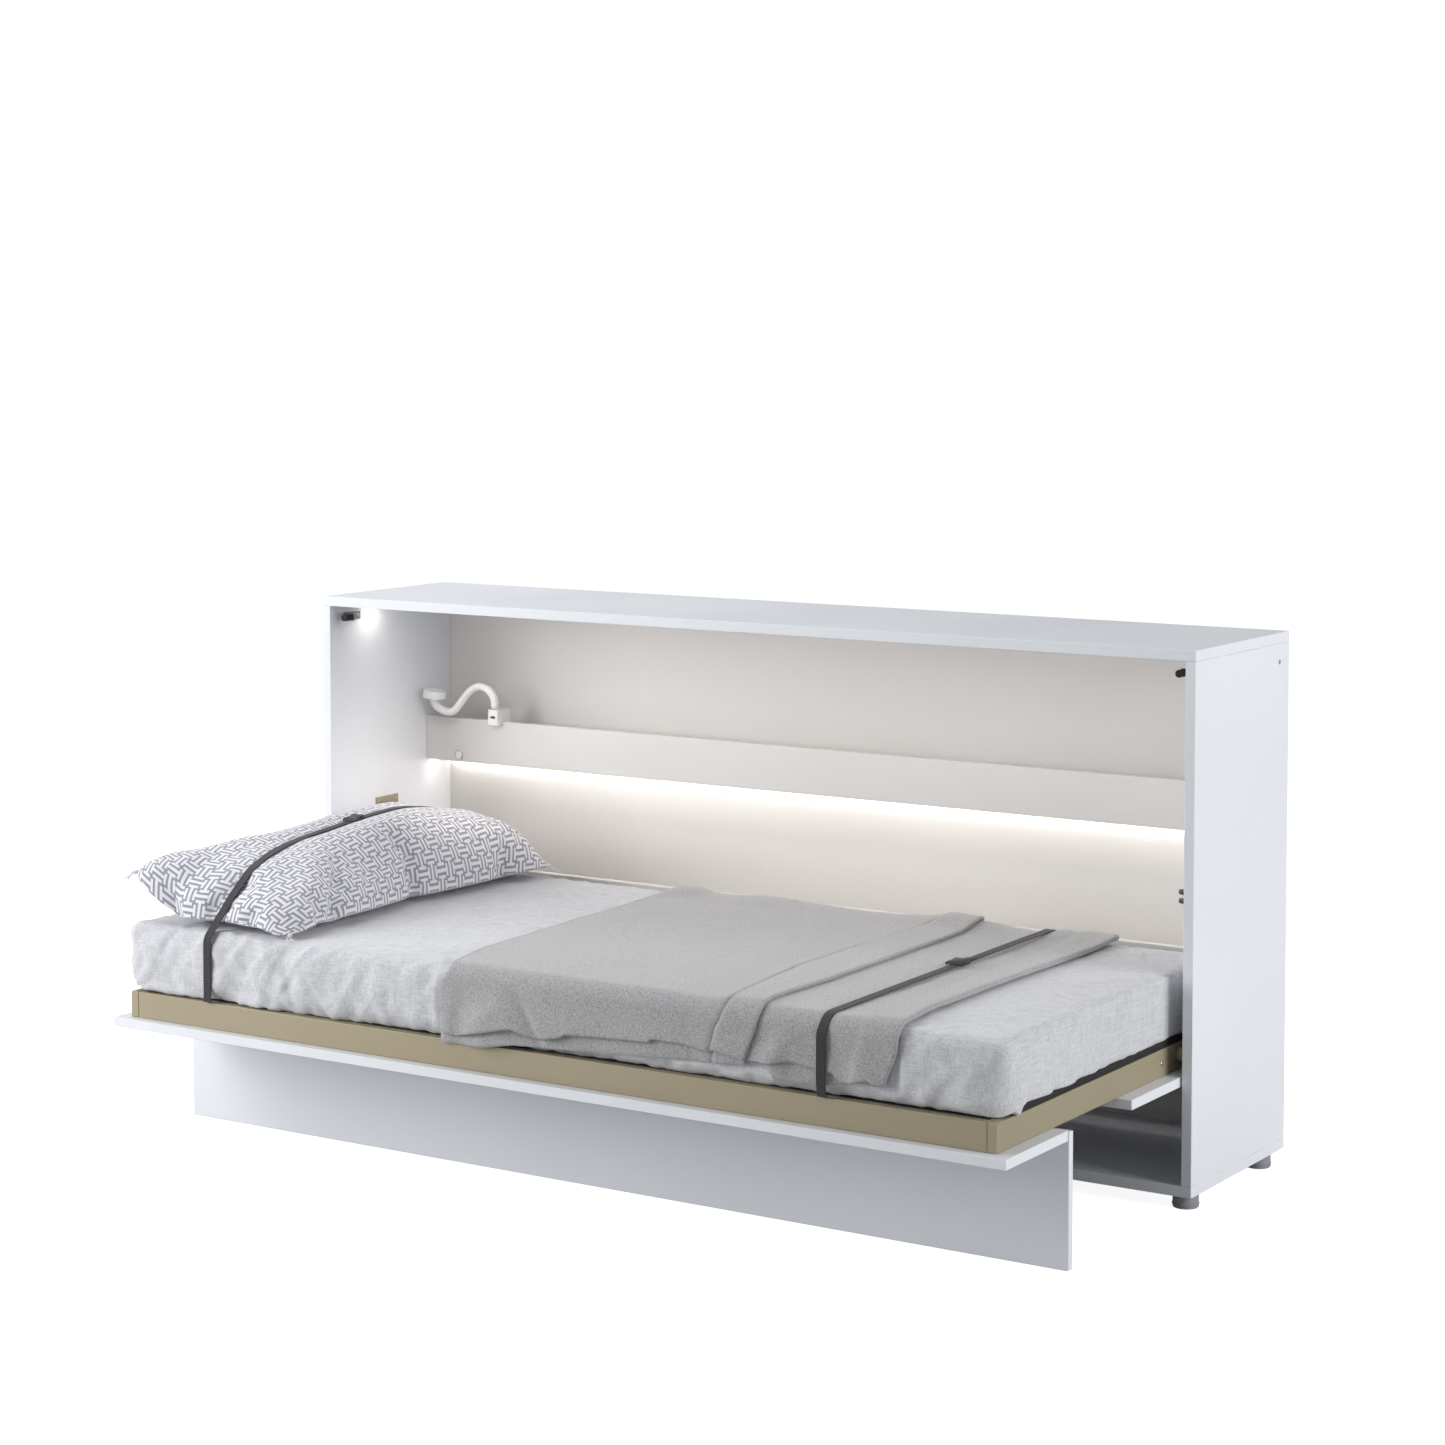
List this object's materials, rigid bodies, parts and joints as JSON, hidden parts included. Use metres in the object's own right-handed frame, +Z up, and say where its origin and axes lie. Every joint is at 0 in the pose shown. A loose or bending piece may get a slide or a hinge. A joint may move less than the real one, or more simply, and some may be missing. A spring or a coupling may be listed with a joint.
{
  "type": "horizontal wall bed",
  "caption": "White horizontal fold-down wall bed in a low cabinet, with a folding leg panel, gas struts, two shelves, strip light, clip-on reading lamp, mattress, pillow, throw and straps.",
  "frame": {"origin": "on the floor, under the middle of the open bed's whole footprint", "axes": "+X along the cabinet to the right as seen from the room, +Y back towards the wall, +Z up"},
  "size_m": [2.11, 1.148, 1.066],
  "materials": {
    "white_laminate": "satin white melamine board with thin edge banding",
    "grey_interior": "matt warm-grey melamine board",
    "taupe_steel": "satin taupe-gold powder coat",
    "dark_steel": "dark grey coated steel",
    "bright_steel": "zinc-plated steel",
    "grey_plastic": "moulded mid-grey plastic",
    "white_plastic": "satin white moulded plastic and silicone",
    "black_rubber": "matt black rubber",
    "aluminium": "anodised extrusion",
    "diffuser": "opal diffuser, warm white when lit",
    "birch": "lacquered birch ply",
    "sheet_linen": "light grey melange linen, lightly creased",
    "pillow_cotton": "white cotton with a grey interlocking lattice",
    "throw_wool": "heathered grey wool",
    "charcoal_webbing": "woven charcoal webbing"
  },
  "bodies": {
    "cabinet": {"cabinet_top": "white_laminate", "cabinet_bottom": "white_laminate", "cabinet_side_left": "white_laminate", "cabinet_side_right": "white_laminate", "cabinet_back": "grey_interior", "upper_shelf_rail": "grey_interior", "upper_shelf_board": "grey_interior", "lower_shelf_rail": "grey_interior", "lower_shelf_board": "grey_interior", "foot_front_left": "grey_plastic", "foot_front_right": "grey_plastic", "foot_back_left": "grey_plastic", "foot_back_right": "grey_plastic", "side_cap_left": "grey_plastic", "side_cap_right": "grey_plastic", "led_profile": "aluminium", "led_diffuser": "diffuser", "led_spot_left": "white_plastic", "led_spot_right": "white_plastic", "lamp_clamp": "white_plastic", "strut_plate_left": "taupe_steel", "strut_plate_right": "taupe_steel", "pivot_plate_left": "taupe_steel", "pivot_plate_right": "taupe_steel", "catch_arm_left": "dark_steel", "catch_arm_right": "dark_steel", "catch_bumper_left": "black_rubber", "catch_bumper_right": "black_rubber", "side_buffer": "dark_steel"},
    "bed": {"front_rail": "taupe_steel", "rear_rail": "taupe_steel", "side_rail_left": "taupe_steel", "side_rail_right": "taupe_steel", "leg_bar": "taupe_steel", "centre_bar": "taupe_steel", "slat_base": "birch", "door_panel_front": "white_laminate", "door_panel_rear": "white_laminate", "pivot_axle_left": "bright_steel", "pivot_axle_right": "bright_steel", "leg_hinge_block_left": "bright_steel", "leg_hinge_block_right": "bright_steel", "leg_hinge_pin_left": "bright_steel", "leg_hinge_pin_right": "bright_steel", "mattress": "sheet_linen", "pillow": "pillow_cotton", "throw_blanket": "throw_wool", "pillow_strap": "charcoal_webbing", "throw_strap": "charcoal_webbing", "pillow_strap_buckle": "dark_steel", "throw_strap_buckle": "dark_steel"},
    "leg": {"leg_panel": "white_laminate"},
    "strut_cylinder_left": {"strut_cylinder_left": "dark_steel"},
    "strut_rod_left": {"strut_rod_left": "bright_steel"},
    "strut_cylinder_right": {"strut_cylinder_right": "dark_steel"},
    "strut_rod_right": {"strut_rod_right": "bright_steel"},
    "button": {"touch_button": "white_plastic"},
    "lamp_neck": {"lamp_neck": "white_plastic"},
    "lamp_head": {"lamp_head": "white_plastic", "lamp_lens": "diffuser"}
  },
  "joints": [
    {"name": "bed_fold", "type": "hinge", "parent": "cabinet", "child": "bed", "pos_m": [0, 0.18, 0.2865], "axis": [-1, 0, 0], "range_deg": [0, 90], "deforming": ["pillow", "pillow_strap", "pillow_strap_buckle"]},
    {"name": "leg_fold", "type": "hinge", "parent": "bed", "child": "leg", "pos_m": [0, -0.327, 0.2435], "axis": [1, 0, 0], "range_deg": [0, 90]},
    {"name": "strut_swing_left", "type": "hinge", "parent": "cabinet", "child": "strut_cylinder_left", "pos_m": [-1.017, 0.325, 0.575], "axis": [-1, 0, 0], "range_deg": [0, 20]},
    {"name": "strut_slide_left", "type": "slide", "parent": "strut_cylinder_left", "child": "strut_rod_left", "axis": [0, 0.017, -0.9999], "range_m": [0, 0.17]},
    {"name": "strut_swing_right", "type": "hinge", "parent": "cabinet", "child": "strut_cylinder_right", "pos_m": [1.017, 0.325, 0.575], "axis": [-1, 0, 0], "range_deg": [0, 20]},
    {"name": "strut_slide_right", "type": "slide", "parent": "strut_cylinder_right", "child": "strut_rod_right", "axis": [0, 0.017, -0.9999], "range_m": [0, 0.17]},
    {"name": "button_press", "type": "slide", "parent": "cabinet", "child": "button", "axis": [0, 1, 0], "range_m": [0, 0.0012], "stiffness_N_per_m": 400},
    {"name": "lamp_bend", "type": "hinge", "parent": "cabinet", "child": "lamp_neck", "pos_m": [-0.83, 0.465, 0.802], "axis": [0, 1, 0], "range_deg": [0, 60]},
    {"name": "lamp_head_tilt", "type": "hinge", "parent": "lamp_neck", "child": "lamp_head", "pos_m": [-0.986, 0.442, 0.8125], "axis": [1, 0, 0], "range_deg": [-12, 12]}
  ],
  "couplings": [
    {"joint": "strut_swing_left", "follows": "bed_fold", "ratio": 0.2213},
    {"joint": "strut_slide_left", "follows": "bed_fold", "m_per_rad": 0.10795},
    {"joint": "strut_swing_right", "follows": "bed_fold", "ratio": 0.2213},
    {"joint": "strut_slide_right", "follows": "bed_fold", "m_per_rad": 0.10795}
  ]
}
